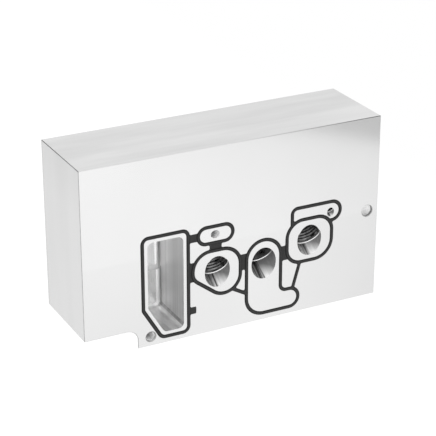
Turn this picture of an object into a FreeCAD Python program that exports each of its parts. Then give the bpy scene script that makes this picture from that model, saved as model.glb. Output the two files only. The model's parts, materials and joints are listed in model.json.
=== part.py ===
import FreeCAD, Part
import math
import os

# A machined aluminium manifold block with a moulded rubber gasket pressed into its front face.
# Millimetres. +X runs along the front face, +Y into the block, +Z up, and the origin is the middle of
# the base. The front face looks along -Y, and its layout is drawn from its top left corner: `across` to
# the right and `down` from the top edge.

# Block
LENGTH = 240.0
HEIGHT = 145.0
DEPTH = 68.0
NOTCH_WIDTH = 41.3
NOTCH_HEIGHT = 15.1
NOTCH_RADIUS = 8.0
EDGE_BREAK = 0.4

# Gasket and the groove that it sits in
BEAD_WIDTH = 2.7
GROOVE_CLEARANCE = 0.1
GROOVE_DEPTH = 2.6
BEAD_STANDS_OUT = 0.5
BEAD_CROWN = 0.6
WEB_SET_BACK = 0.1
JOIN_RADIUS = 1.0

# Pocket: its walls keep this distance inside the middle of the bead around it
POCKET_LAND = 3.8
POCKET_DEPTH = 43.0
POCKET_CORNER = 4.5
POCKET_FLOOR_RADIUS = 3.5
POCKET_STEP_DOWN = 107.0
POCKET_STEP_HEIGHT = 2.2

# Inclined ports: all rise at the same angle as they go in
PORT_TILT = 35.0
PORT_MOUTH_RADIUS = 10.15
PORT_BORE_RADIUS = 9.7
PORT_BORE_LENGTH = 48.0
DRILL_POINT = 59.0
# name: across, down, length of the wide mouth along the port
PORTS = {"left": (105.1, 97.0, 4.4), "middle": (143.2, 98.8, 8.3), "right": (181.4, 87.7, 3.2)}

# Small drillings beside the ports, by name: across, down, radius, tilt upwards, tilt to the left, length
DRILLINGS = {
    "transfer": (103.4, 67.3, 3.05, 0.0, 33.0, 22.0),
    "pilot": (199.1, 69.1, 2.95, 34.0, 0.0, 26.0),
}

# Holes square to the face, by name: across, down, radius, radius of the countersunk rim, length.
# The corner hole is tapped, and has the radius of its thread's crests. The side one is a shallow seat.
SQUARE_HOLES = {"side": (231.0, 74.4, 4.5, 4.9, 2.4), "corner": (51.5, 137.6, 3.4, 4.3, 18.0)}

FRONT = -DEPTH / 2.0
# How far a cutter starts outside the block
CUT_LEAD = 12.0
# Two places closer than TINY are the same, and an edge within IN_PLANE of a plane lies in it
TINY = 1e-6
IN_PLANE = 0.001
# An edge with this cosine to Y or more is upright, and walls that turn by this angle in radians meet sharply
UPRIGHT = 0.99
SHARP = 0.2


def place(across, down, y=FRONT):
    """The point at this distance across and down from the front face's top left corner."""
    return FreeCAD.Vector(across - LENGTH / 2.0, y, HEIGHT - down)


# Gasket layout: the middle line of each bead as corners of (across, down, radius)
POCKET_LOOP = [(46.0, 59.8, 4.7), (81.8, 59.8, 4.7), (81.8, 140.0, 4.7), (60.1, 140.0, 5.2),
               (46.0, 115.9, 2.0)]
TRANSFER_LOOP = [(89.8, 61.0, 6.4), (117.6, 61.0, 6.4), (117.6, 73.9, 6.4), (89.8, 73.9, 6.4)]
LEFT_LOOP = [(85.4, 80.1, 14.4), (123.9, 80.1, 14.2), (123.9, 115.7, 13.4), (106.0, 115.7, 13.0),
             (85.4, 100.0, 9.0)]
MIDDLE_LOOP = [(129.0, 80.1, 14.2), (157.5, 80.1, 14.2), (157.5, 124.4, 4.8), (172.7, 124.4, 7.5),
               (172.7, 139.5, 7.5), (129.0, 139.5, 14.3)]
RIGHT_LOOP = [(162.6, 70.6, 13.4), (200.5, 70.6, 12.4), (200.5, 104.4, 14.4), (162.6, 104.4, 11.5)]
PILOT_LINE = [(166.7, 74.6, 0.0), (166.7, 60.7, 4.4), (207.4, 60.7, 7.4), (207.4, 75.6, 7.4),
              (197.8, 75.6, 0.0)]
LEFT_STRUT = [(116.9, 113.6, 0.0), (129.0, 120.4, 0.0)]
TOE_STRUT = [(173.6, 104.6, 0.0), (167.8, 124.9, 0.0)]

# Flat webs between the beads: across from and to, down from and to
WEBS = [(82.0, 90.0, 64.1, 70.4), (98.9, 108.5, 74.0, 80.0), (82.0, 86.6, 86.5, 101.6),
        (123.0, 130.0, 88.1, 100.6), (157.0, 163.8, 88.6, 100.1)]
TAB = [(81.8, 121.6, 0.0), (87.9, 121.6, 0.9), (87.9, 127.1, 0.9), (81.8, 127.1, 0.0)]


def rounded_outline(corners, y):
    """A closed wire of straight runs, with an arc of the stated radius at each corner."""
    edges = []
    points = [place(across, down, y) for across, down, radius in corners]
    joints = []
    for i, (across, down, radius) in enumerate(corners):
        back = (points[i - 1] - points[i]).normalize()
        ahead = (points[(i + 1) % len(points)] - points[i]).normalize()
        if radius < TINY:
            joints.append((points[i], None, points[i]))
            continue
        half = back.getAngle(ahead) / 2.0
        reach = radius / math.tan(half)
        inward = (back + ahead).normalize()
        middle = points[i] + inward * (radius / math.sin(half) - radius)
        joints.append((points[i] + back * reach, middle, points[i] + ahead * reach))
    for i, (start, middle, end) in enumerate(joints):
        last_end = joints[i - 1][2]
        if last_end.distanceToPoint(start) > TINY:
            edges.append(Part.makeLine(last_end, start))
        if middle is not None:
            edges.append(Part.Arc(start, middle, end).toShape())
    return Part.Wire(edges)


def turns_right(a, b, c):
    """Whether going from a by b to c turns clockwise on the face, as seen from the front."""
    return (b[0] - a[0]) * (c[1] - b[1]) - (b[1] - a[1]) * (c[0] - b[0]) > 0.0


def shifted_corner(before, corner, after, offset):
    """A corner of a clockwise outline moved out by the offset, with its arc kept parallel."""
    normals = []
    for a, b in ((before, corner), (corner, after)):
        run = math.hypot(b[0] - a[0], b[1] - a[1])
        normals.append(((b[1] - a[1]) / run, -(b[0] - a[0]) / run))
    (ax, ay), (bx, by) = normals
    scale = offset / (1.0 + ax * bx + ay * by)
    radius = corner[2] + (offset if turns_right(before, corner, after) else -offset)
    if corner[2] < TINY:
        radius = 0.0
    return (corner[0] + (ax + bx) * scale, corner[1] + (ay + by) * scale, max(radius, 0.0))


def grown(corners, offset):
    """A clockwise outline moved out by the offset, or in where it is negative."""
    after = corners[1:] + corners[:1]
    return [shifted_corner(corners[i - 1], corner, after[i], offset) for i, corner in enumerate(corners)]


def plate(corners, y_from, y_to):
    """A flat plate of this outline between two depths."""
    face = Part.Face(rounded_outline(corners, y_from))
    return face.extrude(FreeCAD.Vector(0, y_to - y_from, 0))


def ring(corners, width, y_from, y_to):
    """A bead of this width along a closed middle line."""
    outside = plate(grown(corners, width / 2.0), y_from, y_to)
    return outside.cut(plate(grown(corners, -width / 2.0), y_from, y_to))


def strip(line, width, y_from, y_to):
    """A bead of this width along an open middle line, with square ends."""
    sides = []
    for points, offset in ((line, width / 2.0), (line[::-1], width / 2.0)):
        for i, corner in enumerate(points):
            before = points[i - 1] if i > 0 else None
            after = points[i + 1] if i + 1 < len(points) else None
            if before is None:
                before = (2 * corner[0] - after[0], 2 * corner[1] - after[1], 0.0)
            if after is None:
                after = (2 * corner[0] - before[0], 2 * corner[1] - before[1], 0.0)
            sides.append(shifted_corner(before, corner, after, offset))
    return plate(sides, y_from, y_to)


def rectangle(left, right, top, bottom):
    """The corners of a plain rectangle."""
    return [(left, top, 0.0), (right, top, 0.0), (right, bottom, 0.0), (left, bottom, 0.0)]


def joined(solids):
    """The solids that these make when fused, with no seams left on their faces."""
    return solids[0].multiFuse(solids[1:]).removeSplitter().Solids


def sharp_upright_edges(solid):
    """The straight edges along Y where two walls meet at a corner."""
    found = []
    for edge in solid.Edges:
        if not isinstance(edge.Curve, Part.Line) or abs(edge.tangentAt(edge.FirstParameter).y) < UPRIGHT:
            continue
        middle = edge.valueAt((edge.FirstParameter + edge.LastParameter) / 2.0)
        normals = []
        for face in solid.ancestorsOfType(edge, Part.Face):
            normals.append(face.normalAt(*face.Surface.parameter(middle)))
        if len(normals) == 2 and normals[0].getAngle(normals[1]) > SHARP:
            found.append(edge)
    return found


def beads(width, y_from, y_to):
    """Every bead of the gasket, joined where they cross: the loops, then the open lines."""
    solids = []
    for corners in (POCKET_LOOP, TRANSFER_LOOP, LEFT_LOOP, MIDDLE_LOOP, RIGHT_LOOP):
        solids.append(ring(corners, width, y_from, y_to))
    for line in (PILOT_LINE, LEFT_STRUT, TOE_STRUT):
        solids.append(strip(line, width, y_from, y_to))
    return joined(solids)


def webs(grow, y_from, y_to):
    """The flat webs between the beads, and the tab beside the pocket."""
    solids = [plate(grown(TAB, grow), y_from, y_to)]
    for left, right, top, bottom in WEBS:
        solids.append(plate(grown(rectangle(left, right, top, bottom), grow), y_from, y_to))
    return solids


def with_radii(solid, radius):
    """The solid with a radius at each of its sharp upright edges."""
    corners = sharp_upright_edges(solid)
    return solid.makeFillet(radius, corners) if corners else solid


def edges_in_plane(solid, y):
    """The edges of a solid that lie in the plane at this depth."""
    found = []
    for edge in solid.Edges:
        box = edge.BoundBox
        if max(abs(box.YMin - y), abs(box.YMax - y)) < IN_PLANE:
            found.append(edge)
    return found


def crowned_beads(y_from, y_top):
    """The beads with rounded joins and a bevelled crown, as separate solids."""
    solids = []
    for bead in beads(BEAD_WIDTH, y_from, y_top):
        bead = with_radii(bead, JOIN_RADIUS)
        solids.append(bead.makeChamfer(BEAD_CROWN, edges_in_plane(bead, y_top)))
    return solids


def gasket_base(grow, y_from, y_top):
    """The whole outline of the gasket as a flat plate: beads and webs together."""
    plates = webs(grow, y_from, y_top) + beads(BEAD_WIDTH + 2.0 * grow, y_from, y_top)
    return with_radii(joined(plates)[0], JOIN_RADIUS)


def block_outline():
    """The front face's outline, with the notch at its lower left corner."""
    notch_down = HEIGHT - NOTCH_HEIGHT
    return [(0.0, 0.0, 0.0), (LENGTH, 0.0, 0.0), (LENGTH, HEIGHT, 0.0), (NOTCH_WIDTH, HEIGHT, 0.0),
            (NOTCH_WIDTH, notch_down, NOTCH_RADIUS), (0.0, notch_down, 0.0)]


def pocket_cutter():
    """The pocket: rounded corners, a radius around its floor, and a raised lower part of the floor."""
    inset = [(across, down, POCKET_CORNER) for across, down, radius in grown(POCKET_LOOP, -POCKET_LAND)]
    upper = [inset[0], inset[1]]
    for across in (inset[1][0], inset[0][0]):
        upper.append((across, POCKET_STEP_DOWN, POCKET_CORNER))
    bottom = FRONT + POCKET_DEPTH
    cutters = []
    for outline, floor in ((inset, bottom - POCKET_STEP_HEIGHT), (upper, bottom)):
        cutter = plate(outline, FRONT - CUT_LEAD, floor)
        cutters.append(cutter.makeFillet(POCKET_FLOOR_RADIUS, edges_in_plane(cutter, floor)))
    return cutters[0].fuse(cutters[1])


def turned(profile, mouth, axis):
    """A cutter turned from (radius, distance from the mouth along the axis) points."""
    points = [FreeCAD.Vector(radius, 0, along) for radius, along in profile]
    face = Part.Face(Part.makePolygon(points + points[:1]))
    cutter = face.revolve(FreeCAD.Vector(0, 0, 0), FreeCAD.Vector(0, 0, 1), 360.0)
    cutter.Placement = FreeCAD.Placement(mouth, FreeCAD.Rotation(FreeCAD.Vector(0, 0, 1), axis))
    return cutter


def drill_tip(radius, length):
    """The profile's end for a hole of this radius left by a twist drill."""
    return [(radius, length), (0.0, length + radius / math.tan(math.radians(DRILL_POINT)))]


def port_cutter(across, down, mouth_length):
    """A rising port: a wide mouth, a bevelled shoulder and a smaller bore."""
    rise = math.radians(PORT_TILT)
    axis = FreeCAD.Vector(0, math.cos(rise), math.sin(rise))
    shoulder_end = mouth_length + PORT_MOUTH_RADIUS - PORT_BORE_RADIUS
    profile = [(0.0, -CUT_LEAD), (PORT_MOUTH_RADIUS, -CUT_LEAD), (PORT_MOUTH_RADIUS, mouth_length)]
    profile += [(PORT_BORE_RADIUS, shoulder_end)] + drill_tip(PORT_BORE_RADIUS, PORT_BORE_LENGTH)
    return turned(profile, place(across, down), axis)


def drilling_cutter(across, down, radius, tilt_up, tilt_left, length):
    """A small slanted drilling."""
    up = math.radians(tilt_up)
    left = math.radians(tilt_left)
    axis = FreeCAD.Vector(-math.sin(left), math.cos(up) * math.cos(left), math.sin(up))
    profile = [(0.0, -CUT_LEAD), (radius, -CUT_LEAD)] + drill_tip(radius, length)
    return turned(profile, place(across, down), axis)


def square_hole_cutter(across, down, radius, rim_radius, length):
    """A drilled hole square to the face, with a countersunk rim."""
    rim_depth = rim_radius - radius
    profile = [(0.0, -rim_depth), (rim_radius + rim_depth, -rim_depth), (radius, rim_depth)]
    return turned(profile + drill_tip(radius, length), place(across, down), FreeCAD.Vector(0, 1, 0))


def manifold_block():
    """The block, milled from one billet."""
    block = plate(block_outline(), FRONT, -FRONT)
    block = block.makeChamfer(EDGE_BREAK, block.Edges)
    cutters = [gasket_base(GROOVE_CLEARANCE, FRONT + GROOVE_DEPTH, FRONT - CUT_LEAD), pocket_cutter()]
    cutters += [port_cutter(*port) for port in PORTS.values()]
    cutters += [drilling_cutter(*drilling) for drilling in DRILLINGS.values()]
    cutters += [square_hole_cutter(*hole) for hole in SQUARE_HOLES.values()]
    return block.cut(cutters)


def port_gasket():
    """The moulded gasket: crowned beads, and flat webs a little lower."""
    floor = FRONT + GROOVE_DEPTH
    crowns = crowned_beads(floor, FRONT - BEAD_STANDS_OUT)
    return joined([gasket_base(0.0, floor, FRONT + WEB_SET_BACK)] + crowns)[0]


PIECES = {"manifold_block": manifold_block, "port_gasket": port_gasket}

os.makedirs("parts", exist_ok=True)
for name, make in PIECES.items():
    solid = make()
    solid.exportStep("parts/" + name + ".step")
    print(name, "volume in cubic centimetres:", round(solid.Volume / 1000.0, 1))
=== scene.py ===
# %% [markdown]
# # A machined manifold block and its face gasket
#
# The object is one block of aluminium, milled all over, with a black rubber gasket pressed into a groove in
# its front face. The CAD frame gives the block and the gasket at their real size. This lesson gives them
# their surfaces, cuts the fine threads inside the holes, and lights them like a part in a catalogue.

import json
import math

import bmesh
import bpy
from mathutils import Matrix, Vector

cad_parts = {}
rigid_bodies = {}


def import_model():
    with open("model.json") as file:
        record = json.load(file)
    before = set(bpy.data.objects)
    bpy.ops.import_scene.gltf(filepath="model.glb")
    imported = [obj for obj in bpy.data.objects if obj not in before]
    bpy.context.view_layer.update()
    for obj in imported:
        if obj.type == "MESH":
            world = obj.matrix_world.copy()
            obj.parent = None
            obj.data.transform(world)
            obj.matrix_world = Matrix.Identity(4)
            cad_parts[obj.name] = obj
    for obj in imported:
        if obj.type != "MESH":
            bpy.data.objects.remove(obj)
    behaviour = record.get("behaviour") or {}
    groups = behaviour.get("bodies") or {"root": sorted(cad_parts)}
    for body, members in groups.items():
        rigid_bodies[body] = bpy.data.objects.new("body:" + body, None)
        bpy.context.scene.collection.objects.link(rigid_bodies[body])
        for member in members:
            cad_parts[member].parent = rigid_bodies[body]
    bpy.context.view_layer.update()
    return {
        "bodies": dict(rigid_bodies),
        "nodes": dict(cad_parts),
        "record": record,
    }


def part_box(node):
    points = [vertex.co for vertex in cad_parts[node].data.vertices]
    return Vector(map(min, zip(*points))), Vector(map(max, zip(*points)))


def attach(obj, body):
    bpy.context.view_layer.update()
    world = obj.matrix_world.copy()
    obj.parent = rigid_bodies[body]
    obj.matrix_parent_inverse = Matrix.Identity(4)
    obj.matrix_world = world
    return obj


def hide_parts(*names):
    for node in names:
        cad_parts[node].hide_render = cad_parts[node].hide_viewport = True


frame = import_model()
body = next(iter(frame["bodies"]))
block_low, block_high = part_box("manifold_block")
mounts = {mount["name"]: mount for mount in frame["record"]["mounts"]}
print("mounts:", list(mounts))

# %% [markdown]
# ## A smooth copy of each solid
#
# The solids come in as loose flat triangles, so a bore shows its facets. Smoothing everything would bend the
# light on the flat faces as well. So a copy is merged, flat neighbours are joined into one face, and only the
# narrow faces, which are the facets of bores and fillets, are smoothed.


# %% Copy a solid, merge it, and smooth only its round surfaces
MERGE_DISTANCE = 0.000002
FLAT_ANGLE = math.radians(0.4)


def smooth_copy(node, name, facet_width, corner_degrees):
    """A merged copy of a CAD node. Faces narrower than facet_width are smooth up to the corner angle."""
    mesh = frame["nodes"][node].data.copy()
    mesh.name = name
    mesh.materials.clear()
    bm = bmesh.new()
    bm.from_mesh(mesh)
    bmesh.ops.remove_doubles(bm, verts=bm.verts, dist=MERGE_DISTANCE)
    bmesh.ops.dissolve_limit(bm, angle_limit=FLAT_ANGLE, verts=bm.verts, edges=bm.edges)
    for face in bm.faces:
        face.smooth = 2.0 * face.calc_area() < facet_width * face.calc_perimeter()
    for edge in bm.edges:
        edge.smooth = edge.calc_face_angle(math.pi) < math.radians(corner_degrees)
    print(name, "faces:", len(bm.faces), "smooth:", sum(face.smooth for face in bm.faces))
    bm.to_mesh(mesh)
    bm.free()
    piece = bpy.data.objects.new(name, mesh)
    bpy.context.scene.collection.objects.link(piece)
    return piece


block = smooth_copy("manifold_block", "milled_block", 0.0016, 28)
gasket = smooth_copy("port_gasket", "moulded_gasket", 0.0016, 40)

# %% [markdown]
# ## Bare metal
#
# A face mill leaves the metal bright but not a mirror: a satin sheet of very fine lines, with slow cloudy
# changes of tone where the tool pressed more or less. One function makes every such finish. A broad noise
# makes the clouds, and a fine noise, stretched along the cutting direction, makes the lines. Both read Object
# coordinates, so they stay on the metal. The ports rise as they go in, so their grain is turned to match.


# %% One function for every metal finish
LINE_SPREAD = 0.06
LINE_HEIGHT = 0.0002


def metal_finish(name, tone, cloud, clouds, lines, roughness, bump, turn=0.0, metallic=1.0):
    """Bare aluminium: a tone with clouds on it, and fine lines. Both are given as changes per metre."""
    material = bpy.data.materials.new(name)
    material.use_nodes = True
    nodes = material.node_tree.nodes
    links = material.node_tree.links
    shader = nodes["Principled BSDF"]
    shader.inputs["Metallic"].default_value = metallic
    place = nodes.new("ShaderNodeTexCoord")

    def noise(per_metre, detail):
        """A noise with its own number of changes per metre along each axis, turned about X by `turn`."""
        grain = nodes.new("ShaderNodeMapping")
        grain.vector_type = "TEXTURE"
        grain.inputs["Rotation"].default_value = (turn, 0.0, 0.0)
        grain.inputs["Scale"].default_value = [1.0 / changes for changes in per_metre]
        links.new(place.outputs["Object"], grain.inputs["Vector"])
        texture = nodes.new("ShaderNodeTexNoise")
        texture.inputs["Scale"].default_value = 1.0
        texture.inputs["Detail"].default_value = detail
        links.new(grain.outputs["Vector"], texture.inputs["Vector"])
        return texture

    shade = nodes.new("ShaderNodeMapRange")
    shade.inputs["From Min"].default_value = 0.36
    shade.inputs["From Max"].default_value = 0.64
    shade.inputs["To Min"].default_value = tone - cloud
    shade.inputs["To Max"].default_value = tone + cloud
    links.new(noise(clouds, 4.0).outputs["Fac"], shade.inputs["Value"])
    colour = nodes.new("ShaderNodeCombineColor")
    colour.name = "colour"
    for channel in ("Red", "Green", "Blue"):
        links.new(shade.outputs["Result"], colour.inputs[channel])
    links.new(colour.outputs["Color"], shader.inputs["Base Color"])

    milled = noise(lines, 3.0)
    rough = nodes.new("ShaderNodeMapRange")
    rough.inputs["To Min"].default_value = roughness - LINE_SPREAD
    rough.inputs["To Max"].default_value = roughness + LINE_SPREAD
    links.new(milled.outputs["Fac"], rough.inputs["Value"])
    links.new(rough.outputs["Result"], shader.inputs["Roughness"])
    relief = nodes.new("ShaderNodeBump")
    relief.inputs["Strength"].default_value = bump
    relief.inputs["Distance"].default_value = LINE_HEIGHT
    links.new(milled.outputs["Fac"], relief.inputs["Height"])
    links.new(relief.outputs["Normal"], shader.inputs["Normal"])
    return material


# %% [markdown]
# ## Tones that change along a face
#
# A large bright face seldom has one tone: it shows a slow change of the room from end to end. Light could be
# shaped to give it, but each face would need its own lamp. It is simpler to multiply the tone by a ramp along
# one axis of the block. The same ramp shades the small holes towards their shadowed side.


# %% A ramp on top of a finish
def graded(material, axis, start, end, factor):
    """Changes a finish's tone along an axis: by nothing at start, and by the factor from end on."""
    nodes = material.node_tree.nodes
    links = material.node_tree.links
    colour = nodes["colour"]
    place = nodes.new("ShaderNodeTexCoord")
    split = nodes.new("ShaderNodeSeparateXYZ")
    links.new(place.outputs["Object"], split.inputs["Vector"])
    grade = nodes.new("ShaderNodeMapRange")
    grade.inputs["From Min"].default_value = start
    grade.inputs["From Max"].default_value = end
    grade.inputs["To Min"].default_value = 1.0
    grade.inputs["To Max"].default_value = factor
    links.new(split.outputs[axis], grade.inputs["Value"])
    product = nodes.new("ShaderNodeMath")
    product.operation = "MULTIPLY"
    links.new(colour.inputs["Red"].links[0].from_socket, product.inputs[0])
    links.new(grade.outputs["Result"], product.inputs[1])
    for channel in ("Red", "Green", "Blue"):
        links.new(product.outputs["Value"], colour.inputs[channel])


# %% [markdown]
# ## The outer faces
#
# The front face has the finest cut, so it mirrors the table in front of it. The top and the sides show the
# tool's lines, along the length on top and upright on the sides; their lower tones are partly painted shade.
# The edges are only broken with a small bevel, which shows as a thin line. On the top's left edge and along
# the front top edge towards its right end, that line is painted dark, as painted shade.

# %% The finishes of the outer faces
finishes = {
    "front": metal_finish("front_face_finish", tone=0.80, cloud=0.012, clouds=(8, 8, 8),
                          lines=(60, 60, 1500), roughness=0.13, bump=0.01),
    "top": metal_finish("top_face_finish", tone=0.69, cloud=0.06, clouds=(6, 38, 38),
                        lines=(30, 2500, 30), roughness=0.34, bump=0.08),
    "side": metal_finish("side_face_finish", tone=0.64, cloud=0.015, clouds=(40, 40, 5),
                         lines=(2500, 2500, 30), roughness=0.36, bump=0.06),
    # Painted light: the notch's walls get a near-white tone, so that they read almost white.
    "notch_painted_light": metal_finish("notch_painted_light_finish", tone=0.97, cloud=0.01, clouds=(40, 40, 40),
                          lines=(2500, 60, 60), roughness=0.45, bump=0.05),
    "edge": metal_finish("broken_edge_finish", tone=0.72, cloud=0.02, clouds=(40, 40, 40),
                         lines=(300, 300, 300), roughness=0.30, bump=0.05),
    # Painted shade: the front top edge darkens towards its right end by the ramp below, and the top's left
    # edge is dark.
    "top_edge_painted_shade": metal_finish("front_top_edge_painted_shade_finish", tone=0.70, cloud=0.02, clouds=(40, 40, 40),
                             lines=(300, 300, 300), roughness=0.30, bump=0.05),
    "painted_shade_edge": metal_finish("painted_shade_edge_finish", tone=0.15, cloud=0.05, clouds=(60, 60, 60),
                              lines=(300, 300, 300), roughness=0.30, bump=0.05),
}
MID_HEIGHT = 0.070
# The front is two percent darker below mid-height.
graded(finishes["front"], "Z", MID_HEIGHT + 0.001, MID_HEIGHT - 0.001, 0.98)
# Painted reflection and shade: the front darkens towards the bottom and the right end, the sides towards the
# top and the back.
graded(finishes["front"], "Z", 0.075, 0.015, 0.95)
graded(finishes["front"], "X", 0.020, block_high.x, 0.95)
graded(finishes["side"], "Z", 0.110, block_high.z, 0.94)
graded(finishes["side"], "Y", block_high.y - 0.004, block_high.y, 0.90)
graded(finishes["top_edge_painted_shade"], "X", 0.0, block_high.x, 0.15)
print("outer finishes:", list(finishes))

# %% [markdown]
# ## The pocket
#
# An end mill cuts the pocket from the front, so its corners are round. The floor and the raised pad are
# smoother than the walls and mirror the light outside. The small step at the top of the pad is painted almost
# white, as a painted highlight, and the round corner between the floor and the right wall is a softer line of
# painted shade. The right wall is painted lighter deeper in, as painted light.

# %% The finishes of the pocket
finishes["pocket"] = metal_finish("pocket_finish", tone=0.84, cloud=0.12, clouds=(200, 60, 60),
                                  lines=(300, 300, 300), roughness=0.50, bump=0.10)
finishes["pocket_wall"] = metal_finish("pocket_wall_finish", tone=0.90, cloud=0.10, clouds=(220, 220, 5),
                                       lines=(2500, 2500, 20), roughness=0.50, bump=0.10)
# Painted shade: the round corner between the floor and the right wall.
finishes["pocket_painted_corner_shade"] = metal_finish("pocket_painted_corner_shade_finish", tone=0.60, cloud=0.12, clouds=(160, 160, 8),
                                       lines=(300, 300, 20), roughness=0.46, bump=0.10)
finishes["pocket_floor"] = metal_finish("pocket_floor_finish", tone=0.88, cloud=0.10, clouds=(250, 250, 20),
                                        lines=(300, 300, 20), roughness=0.26, bump=0.10)
# Painted highlight: the small step at the top of the pad is almost white.
finishes["pocket_step_painted_highlight"] = metal_finish("pocket_step_painted_highlight_finish", tone=0.98, cloud=0.02, clouds=(250, 250, 20),
                                       lines=(300, 300, 20), roughness=0.70, bump=0.10, metallic=0.5)
finishes["pocket_pad"] = metal_finish("pocket_pad_finish", tone=0.70, cloud=0.06, clouds=(250, 250, 60),
                                      lines=(300, 300, 20), roughness=0.26, bump=0.10)
# Painted light: the right wall grows lighter deeper in, past its own tone.
graded(finishes["pocket_wall"], "Y", -0.004, 0.005, 1.14)
print("pocket finishes:", [name for name in finishes if name.startswith("pocket")])

# %% [markdown]
# ## The ports and the small holes
#
# Each port rises as it goes in. Its mouth is reamed and streaked along its length. The small shoulder behind
# it is painted as a bright ring, a painted highlight, and the bore and the threads beyond are painted dark,
# as painted shade where little light gets so deep. The grain is turned by the port's own angle. The right
# half of a mouth is almost white low down, so it has a pale copy of the finish with painted light, and a ramp
# of painted shade darkens it upwards; its ramp starts from the height of the rim's centre. The pilot
# drilling's mouth is given the same.

# %% The finishes of the ports and the small holes
PORT_TILT = math.radians(35.0)
SEAT_CENTRE = Vector((0.111, block_low.y, 0.0706))
TAPPED_CENTRE = Vector((-0.0685, block_low.y, 0.0074))
PORT_RIM_RADIUS = 0.01015
PILOT_RIM_RADIUS = 0.00295
LIT_LOW, LIT_HIGH = 1.13, 0.49
LIT_SHADE = 0.24
RIMS = {
    "left_port": (0.0480, PORT_RIM_RADIUS),
    "middle_port": (0.0462, PORT_RIM_RADIUS),
    "right_port": (0.0573, PORT_RIM_RADIUS),
    "pilot": (0.0759, PILOT_RIM_RADIUS),
}
finishes["mouth"] = metal_finish("port_mouth_finish", tone=0.50, cloud=0.42, clouds=(450, 12, 450),
                                 lines=(1500, 60, 1500), roughness=0.38, bump=0.15, turn=PORT_TILT)
# Painted highlight: the port's shoulder ring is near white.
finishes["shoulder"] = metal_finish("port_shoulder_painted_highlight_finish", tone=0.98, cloud=0.01, clouds=(40, 40, 40),
                                    lines=(300, 300, 300), roughness=0.35, bump=0.05)
# Painted shade: the bore and its threads are dark.
finishes["bore"] = metal_finish("port_bore_painted_shade_finish", tone=0.18, cloud=0.17, clouds=(160, 160, 160),
                                lines=(60, 1500, 60), roughness=0.25, bump=0.15, turn=PORT_TILT, metallic=0.5)
finishes["thread"] = metal_finish("port_thread_painted_shade_finish", tone=0.16, cloud=0.16, clouds=(230, 230, 230),
                                  lines=(60, 1500, 60), roughness=0.30, bump=0.15, turn=PORT_TILT,
                                  metallic=0.7)
finishes["hole"] = metal_finish("small_hole_finish", tone=0.86, cloud=0.08, clouds=(100, 1200, 100),
                                lines=(300, 1500, 300), roughness=0.60, bump=0.15)
# Painted shade: a drilling beyond its last light.
finishes["hole_end_painted_shade"] = metal_finish("deep_hole_painted_shade_finish", tone=0.12, cloud=0.05, clouds=(100, 1200, 100),
                                    lines=(300, 1500, 300), roughness=0.50, bump=0.15)
# Painted light and shade: the tapped hole is a pale matt copy, darker towards its lower side by the ramp
# below.
finishes["tapped"] = metal_finish("tapped_hole_painted_light_finish", tone=0.98, cloud=0.02, clouds=(300, 300, 300),
                                  lines=(300, 1500, 300), roughness=0.80, bump=0.15, metallic=0.0)
# Painted shade: the small bevels at the mouths of the holes are darkened.
finishes["rim"] = metal_finish("hole_rim_painted_shade_finish", tone=0.45, cloud=0.05, clouds=(300, 300, 300),
                               lines=(300, 300, 300), roughness=0.60, bump=0.10)
# Painted light and shade: the seat's floor is a pale matt copy that darkens below its centre.
finishes["seat"] = metal_finish("shallow_seat_painted_light_finish", tone=0.97, cloud=0.03, clouds=(100, 100, 100),
                                lines=(300, 300, 300), roughness=0.60, bump=0.10, metallic=0.0)
# Painted shade: the seat's wall is darker, and darkens towards the right.
finishes["seat_wall"] = metal_finish("seat_wall_painted_shade_finish", tone=0.60, cloud=0.05, clouds=(100, 100, 100),
                                     lines=(300, 300, 300), roughness=0.50, bump=0.10)
# Painted highlight: the thin ring in a drilling.
finishes["ring"] = metal_finish("painted_highlight_ring_finish", tone=0.97, cloud=0.02, clouds=(100, 100, 100),
                                lines=(300, 300, 300), roughness=0.50, bump=0.10, metallic=0.0)
# Painted shade ramps on the seat, its wall and the tapped hole.
graded(finishes["seat"], "Z", SEAT_CENTRE.z - 0.0005, SEAT_CENTRE.z - 0.005, 0.45)
graded(finishes["seat_wall"], "X", SEAT_CENTRE.x - 0.004, SEAT_CENTRE.x + 0.003, 0.45)
graded(finishes["tapped"], "Z", TAPPED_CENTRE.z + 0.001, TAPPED_CENTRE.z - 0.004, 0.60)
for name, (rim_height, rim_radius) in RIMS.items():
    # Painted light on the right half of each mouth, with painted shade darkening it upwards.
    lit = metal_finish(name + "_painted_light_finish", tone=0.90, cloud=0.10, clouds=(450, 12, 450),
                       lines=(1500, 60, 1500), roughness=0.9, bump=0.15, turn=PORT_TILT, metallic=0.0)
    graded(lit, "Z", rim_height - rim_radius * LIT_LOW, rim_height - rim_radius * LIT_HIGH, LIT_SHADE)
    finishes[name] = lit
print("all finishes:", list(finishes))

# %% [markdown]
# ## Where the holes lie
#
# The frame's mounts say where each port's straight bore lies and which way it points, so the distance along
# that line tells a port's mouth from its bore. The two small drillings have no mount. Each is drilled at a
# slant, the pilot hole upwards and the transfer hole to the left. So each is given by its start, its way in
# and the depth that light reaches.

# %% The lines of the ports and the drillings
def port_line(name):
    """Where a port's straight bore starts, and the way into it."""
    mount = mounts[name]
    inward = -Vector(mount["axis"])
    half_length = mount["dims"]["length_mm"] / 2000.0
    return Vector(mount["pos_m"]) - inward * half_length, inward


PORTS = {name: port_line(name) for name in ("left_port", "middle_port", "right_port")}
UP, LEFT = math.radians(34.0), math.radians(33.0)
PILOT_WAY = Vector((0.0, math.cos(UP), math.sin(UP)))
TRANSFER_WAY = Vector((-math.sin(LEFT), math.cos(LEFT), 0.0))
DRILLINGS = {
    "pilot": (Vector((0.0791, block_low.y, 0.0759)), PILOT_WAY, 0.0018),
    "transfer": (Vector((-0.0166, block_low.y, 0.0777)), TRANSFER_WAY, 0.0042),
}
print("ports and drillings:", list(PORTS), list(DRILLINGS))

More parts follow.
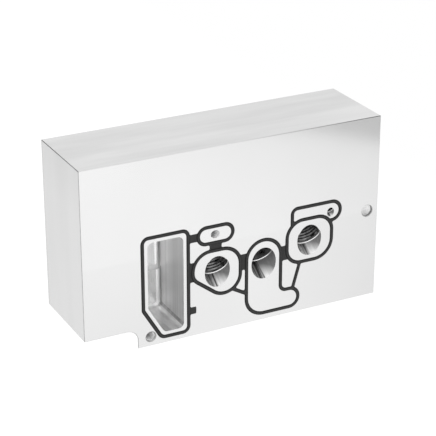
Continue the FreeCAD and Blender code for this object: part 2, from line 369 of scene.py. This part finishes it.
# %% [markdown]
# ## Rings in the drillings
#
# A small drilling is bright near its mouth, has a thin ring of painted highlight where the light last touches
# it, and is painted dark beyond, as painted shade. Its wall is one set of long facets, though, and a facet
# has only one finish. So the wall is cut by planes across the drilling, once on each side of the ring.

# %% Cut the drillings' walls where their finish changes
DRILLING_REACH = 0.004
DRILLING_LENGTH = 0.030
RING_WIDTH = 0.0008


def cut_ring(start, inward, depth):
    """Cuts a ring into a drilling's wall at a depth, so that the finish can change there."""
    bm = bmesh.new()
    bm.from_mesh(block.data)
    wall = []
    for face in bm.faces:
        middle = face.calc_center_median() - start
        along = middle.dot(inward)
        near = (middle - inward * along).length < DRILLING_REACH
        if -0.002 < along < DRILLING_LENGTH and near and face.normal.y > -0.9:
            wall.append(face)
    edges = list({edge for face in wall for edge in face.edges})
    corners = list({corner for face in wall for corner in face.verts})
    bmesh.ops.bisect_plane(bm, geom=wall + edges + corners, plane_co=start + inward * depth, plane_no=inward)
    bm.to_mesh(block.data)
    bm.free()
    print("ring cut through", len(wall), "faces")


for start, inward, light_depth in DRILLINGS.values():
    cut_ring(start, inward, light_depth)
    cut_ring(start, inward, light_depth + RING_WIDTH)

# %% [markdown]
# ## Which finish goes where
#
# Every face of the block knows its own direction and place, so a few plain tests tell the outer faces from
# the pocket and from the holes. The outer skin is told by how close a face is to the block's box, the pocket
# by its place, and the holes by how near a face is to their lines.

# %% The tests for the outer skin and the pocket
SKIN = 0.0006
SQUARE = 0.99
POCKET_LEFT, POCKET_RIGHT = -0.071, -0.041
POCKET_TOP = 0.085
PAD_FACE = 0.0068
STEP_LOW, STEP_HIGH = 0.036, 0.043
HAIR = 0.0001


def outer_finish(middle, normal):
    """The finish of a face in the block's outer skin."""
    if max(abs(normal.x), abs(normal.y), abs(normal.z)) < SQUARE:
        if middle.z < block_high.z - SKIN:
            return "edge"
        # Painted shade on the top's left edge and on the front top edge.
        if middle.x < block_low.x + SKIN:
            return "painted_shade_edge"
        return "top_edge_painted_shade" if middle.y < block_low.y + SKIN else "edge"
    if middle.z > block_high.z - SKIN:
        return "top"
    return "front" if abs(normal.y) > SQUARE else "side"


def pocket_finish(middle, normal):
    """The finish of a face inside the pocket."""
    if normal.x < -0.985:
        return "pocket_wall"
    # Painted shade on the facets of the round corner.
    if normal.x < -0.75:
        return "pocket_painted_corner_shade"
    if middle.y <= PAD_FACE - HAIR:
        return "pocket"
    if abs(middle.y - PAD_FACE) < HAIR and normal.y < -SQUARE:
        return "pocket_pad"
    # Painted highlight on the step.
    on_step = normal.z > 0.05 and STEP_LOW < middle.z < STEP_HIGH
    return "pocket_step_painted_highlight" if on_step else "pocket_floor"


print("skin:", SKIN, "pocket from", POCKET_LEFT, "to", POCKET_RIGHT)

# %% The tests for the ports and the small holes
PORT_REACH = 0.0125
SHOULDER_LENGTH = 0.0005
PORT_LIT_FROM = 0.0015
PILOT_LIT_FROM = 0.0005
TAPPED_REACH = 0.005
SEAT_REACH = 0.008
WALL_SLOPE = 0.4


def hole_finish(middle, normal):
    """The finish of a face in a port, a drilling, the tapped hole or the seat, or else in the groove."""
    for name, (start, inward) in PORTS.items():
        along = (middle - start).dot(inward)
        if (middle - start - inward * along).length < PORT_REACH:
            if along < -SHOULDER_LENGTH:
                # The right half of a mouth takes painted light, the shoulder a painted highlight and the bore
                # painted shade.
                return name if middle.x > start.x + PORT_LIT_FROM else "mouth"
            return "shoulder" if along < 0.0 else "bore"
    # Painted light and shade in the tapped hole and the seat.
    if math.hypot(middle.x - TAPPED_CENTRE.x, middle.z - TAPPED_CENTRE.z) < TAPPED_REACH:
        return "tapped"
    if (middle - SEAT_CENTRE).length < SEAT_REACH:
        return "seat_wall" if abs(normal.y) < WALL_SLOPE else "seat"
    for name, (start, inward, light_depth) in DRILLINGS.items():
        along = (middle - start).dot(inward)
        if (middle - start - inward * along).length < DRILLING_REACH:
            # Painted highlight on the ring and painted shade beyond it; the pilot's right half takes painted
            # light.
            if along > light_depth:
                return "hole_end_painted_shade" if along > light_depth + RING_WIDTH else "ring"
            if name == "pilot":
                return name if middle.x > start.x + PILOT_LIT_FROM else "mouth"
    return "hole"


print("reach of a port:", PORT_REACH, "and of a drilling:", DRILLING_REACH)

# %% Give each face of the block its finish
NOTCH_TOP = 0.016
RIM_DEPTH = 0.0012
RIM_HEIGHTS = (0.001, 0.140)
GROOVE_DEPTH = 0.0027
FINISH_ORDER = list(finishes)


def on_rim(middle, normal):
    """True on the small bevel at the front of a hole, and not on the block's own top and bottom edges."""
    sloping = 0.4 < abs(normal.y) < 0.9
    return sloping and middle.y < block_low.y + RIM_DEPTH and RIM_HEIGHTS[0] < middle.z < RIM_HEIGHTS[1]


def finish_of(face):
    """The name of the finish for one face of the block."""
    middle, normal = face.center, face.normal
    if middle.x < POCKET_LEFT and middle.z < NOTCH_TOP and abs(normal.y) < 0.5:
        return "notch_painted_light"
    # Painted shade on the small bevels at the holes' mouths.
    if on_rim(middle, normal):
        return "rim"
    inset = min(middle[axis] - block_low[axis] for axis in range(3))
    inset = min(inset, min(block_high[axis] - middle[axis] for axis in range(3)))
    if inset < SKIN:
        return outer_finish(middle, normal)
    if middle.y < block_low.y + GROOVE_DEPTH and abs(normal.y) > SQUARE:
        return "front"
    if POCKET_LEFT < middle.x < POCKET_RIGHT and middle.z < POCKET_TOP:
        return pocket_finish(middle, normal)
    return hole_finish(middle, normal)


for finish in finishes.values():
    block.data.materials.append(finish)
counts = dict.fromkeys(FINISH_ORDER, 0)
for face in block.data.polygons:
    finish = finish_of(face)
    face.material_index = FINISH_ORDER.index(finish)
    counts[finish] += 1
print("faces by finish:", counts)

# %% [markdown]
# ## Threads
#
# The two outer ports and the corner's screw hole are tapped. A thread is a small triangle carried round and
# along the hole: the spin operator does both at once, because it can shift the profile a little at each step.


# %% One function for every thread
STEPS_PER_TURN = 40
HALF_PROFILE = 0.42


def thread(name, start, inward, radius, pitch, turns, depth):
    """An internal thread as a closed helical ridge that stands out from the wall of a hole."""
    across = inward.orthogonal().normalized()
    rim = start + across * radius
    bm = bmesh.new()
    half_width = inward * pitch * HALF_PROFILE
    corners = [rim - half_width, rim - across * depth, rim + half_width]
    profile = bm.faces.new([bm.verts.new(corner) for corner in corners])
    steps = int(STEPS_PER_TURN * turns)
    bmesh.ops.spin(bm, geom=[profile] + profile.edges[:] + profile.verts[:], cent=start, axis=inward,
                   dvec=inward * (pitch / STEPS_PER_TURN), angle=math.tau * turns, steps=steps,
                   use_duplicate=False)
    bmesh.ops.holes_fill(bm, edges=[edge for edge in bm.edges if edge.is_boundary], sides=3)
    bmesh.ops.recalc_face_normals(bm, faces=bm.faces)
    for face in bm.faces:
        face.smooth = False
    mesh = bpy.data.meshes.new(name)
    bm.to_mesh(mesh)
    bm.free()
    piece = bpy.data.objects.new(name, mesh)
    bpy.context.scene.collection.objects.link(piece)
    print(name, "faces:", len(mesh.polygons))
    return piece


PORT_THREAD_START = 0.0018
SCREW_THREAD_START = 0.001
threads = {}
for name in ("left_port", "right_port"):
    start, inward = PORTS[name]
    threads[name] = thread(name + "_thread", start + inward * PORT_THREAD_START, inward,
                           radius=0.00972, pitch=0.0023, turns=8, depth=0.0005)
start, inward = port_line("corner_screw_hole")
threads["screw_hole"] = thread("screw_hole_thread", start + inward * SCREW_THREAD_START, inward,
                               radius=0.00342, pitch=0.00125, turns=9, depth=0.00035)
for name, piece in threads.items():
    # The port threads take the dark finish of painted shade, and the screw hole's thread the pale finish of
    # painted light.
    piece.data.materials.append(finishes["thread" if "port" in name else "tapped"])

# %% [markdown]
# ## Moulded rubber
#
# The gasket is matt black rubber from a mould. It has no direction, only a very fine even grain. The flat
# tops get a lighter tone, as painted light, and the bevelled sides of the beads a darker one, as painted
# shade.


# %% The rubber of the gasket
def rubber_finish(name, dark, light, roughness):
    """Matt black rubber with a fine grain between two tones."""
    material = bpy.data.materials.new(name)
    material.use_nodes = True
    nodes = material.node_tree.nodes
    links = material.node_tree.links
    shader = nodes["Principled BSDF"]
    shader.inputs["Specular IOR Level"].default_value = 0.35
    shader.inputs["Roughness"].default_value = roughness
    place = nodes.new("ShaderNodeTexCoord")
    grain = nodes.new("ShaderNodeTexNoise")
    grain.inputs["Scale"].default_value = 1500.0
    links.new(place.outputs["Object"], grain.inputs["Vector"])
    tone = nodes.new("ShaderNodeValToRGB")
    tone.color_ramp.elements[0].position = 0.3
    tone.color_ramp.elements[0].color = (dark, dark, dark, 1.0)
    tone.color_ramp.elements[1].position = 0.7
    tone.color_ramp.elements[1].color = (light, light, light, 1.0)
    links.new(grain.outputs["Fac"], tone.inputs["Fac"])
    links.new(tone.outputs["Color"], shader.inputs["Base Color"])
    return material


# Painted light on the flat tops, painted shade on the bevelled sides.
gasket.data.materials.append(rubber_finish("rubber_painted_light_top", 0.010, 0.030, 0.60))
gasket.data.materials.append(rubber_finish("rubber_painted_shade_side", 0.002, 0.006, 0.75))
for face in gasket.data.polygons:
    face.material_index = 0 if face.normal.y < -SQUARE else 1
print("gasket finishes:", [material.name for material in gasket.data.materials])

# %% [markdown]
# ## One part, two solids
#
# Nothing on the block moves, so every piece rides on the one body. The copies take the place of the CAD
# solids that they were made from. The threads replace nothing: they are extra pieces of the same metal.

# %% Tie the pieces to the frame
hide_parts("manifold_block")
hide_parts("port_gasket")
for piece in [block, gasket] + list(threads.values()):
    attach(piece, body)

# %% [markdown]
# ## The floor
#
# Bare metal shows the room around it. So the floor is a glowing white table, a little brighter on the left.
# It lights the block from below and all round, so no strong lamp is needed.


# %% The floor
def sheet(name, corners, material):
    """A flat four-cornered sheet that belongs to the studio."""
    mesh = bpy.data.meshes.new(name)
    bm = bmesh.new()
    bm.faces.new([bm.verts.new(corner) for corner in corners])
    bm.to_mesh(mesh)
    bm.free()
    mesh.materials.append(material)
    piece = bpy.data.objects.new(name, mesh)
    bpy.context.scene.collection.objects.link(piece)
    return piece


table = bpy.data.materials.new("light_table")
table.use_nodes = True
table_nodes = table.node_tree.nodes
table_links = table.node_tree.links
table_shader = table_nodes["Principled BSDF"]
table_shader.inputs["Base Color"].default_value = (0.0, 0.0, 0.0, 1.0)
table_shader.inputs["Specular IOR Level"].default_value = 0.0
table_shader.inputs["Emission Color"].default_value = (1.0, 1.0, 1.0, 1.0)
table_place = table_nodes.new("ShaderNodeTexCoord")
table_split = table_nodes.new("ShaderNodeSeparateXYZ")
table_links.new(table_place.outputs["Object"], table_split.inputs["Vector"])
table_glow = table_nodes.new("ShaderNodeMapRange")
table_glow.inputs["From Min"].default_value = 0.05
table_glow.inputs["From Max"].default_value = 0.30
table_glow.inputs["To Min"].default_value = 1.11
table_glow.inputs["To Max"].default_value = 1.0
table_links.new(table_split.outputs["X"], table_glow.inputs["Value"])
table_links.new(table_glow.outputs["Result"], table_shader.inputs["Emission Strength"])
FLOOR_HALF = 4.0
floor_corners = [(-FLOOR_HALF, -FLOOR_HALF, 0), (FLOOR_HALF, -FLOOR_HALF, 0), (FLOOR_HALF, FLOOR_HALF, 0),
                 (-FLOOR_HALF, FLOOR_HALF, 0)]
floor = sheet("light_table", floor_corners, table)

# %% [markdown]
# ## The dark card
#
# One card lies on the table, out of the picture on the right. Only the polished front face mirrors it, and
# that gives the face its dark upper right corner.

# %% The dark card
card_paper = bpy.data.materials.new("dark_card")
card_paper.use_nodes = True
card_paper.node_tree.nodes["Principled BSDF"].inputs["Base Color"].default_value = (0.56, 0.56, 0.56, 1.0)
CARD_CORNERS = [(0.19, -0.435, 0.002), (0.34, -0.55, 0.002), (0.53, -0.31, 0.002), (0.38, -0.195, 0.002)]
card = sheet("dark_card", CARD_CORNERS, card_paper)
card.visible_camera = False
card.visible_diffuse = False
print("pieces of the studio:", floor.name, card.name)

# %% [markdown]
# ## The room and the lamp
#
# The room is plain white, so no side of the block is in shadow. One weak, large lamp gives the top edges a
# direction without hard shadows.

# %% The room's light
world = bpy.data.worlds.new("white_room")
world.use_nodes = True
world.node_tree.nodes["Background"].inputs["Color"].default_value = (1.0, 1.0, 1.0, 1.0)
world.node_tree.nodes["Background"].inputs["Strength"].default_value = 1.0
bpy.context.scene.world = world


def soft_light(name, place, aim, size, power):
    """A large square soft light that faces the aim point."""
    light = bpy.data.lights.new(name, "AREA")
    light.shape = "SQUARE"
    light.size = size
    light.energy = power
    lamp = bpy.data.objects.new(name, light)
    lamp.location = place
    lamp.rotation_euler = (Vector(aim) - Vector(place)).to_track_quat("-Z", "Y").to_euler()
    bpy.context.scene.collection.objects.link(lamp)
    return lamp


lamp = soft_light("key_light", place=(-0.6, -0.9, 1.6), aim=(0, 0, 0.05), size=0.8, power=6)
print("lamp:", lamp.name, "power:", lamp.data.energy)

# %% [markdown]
# ## The camera
#
# The part is seen from the left and from above, with a long lens from more than a metre away, so that its
# edges stay almost parallel. The camera looks straight at its aim point, with no shift and no blur.

# %% The camera
CAMERA_AIM = Vector((0.003, 0.0, 0.073))
CAMERA_DISTANCE = 1.196
CAMERA_AZIMUTH = math.radians(27.1)
CAMERA_ELEVATION = math.radians(23.8)
CAMERA_LENS = 133.8
toward = Vector((math.sin(CAMERA_AZIMUTH) * math.cos(CAMERA_ELEVATION),
                 math.cos(CAMERA_AZIMUTH) * math.cos(CAMERA_ELEVATION), -math.sin(CAMERA_ELEVATION)))
camera_data = bpy.data.cameras.new("catalogue_camera")
camera_data.lens = CAMERA_LENS
camera_data.sensor_width = 36.0
camera = bpy.data.objects.new("catalogue_camera", camera_data)
camera.location = CAMERA_AIM - toward * CAMERA_DISTANCE
camera.rotation_euler = toward.to_track_quat("-Z", "Y").to_euler()
bpy.context.scene.collection.objects.link(camera)
bpy.context.scene.camera = camera
bpy.context.scene.view_settings.view_transform = "Standard"
print("camera at", [round(v, 3) for v in camera.location])
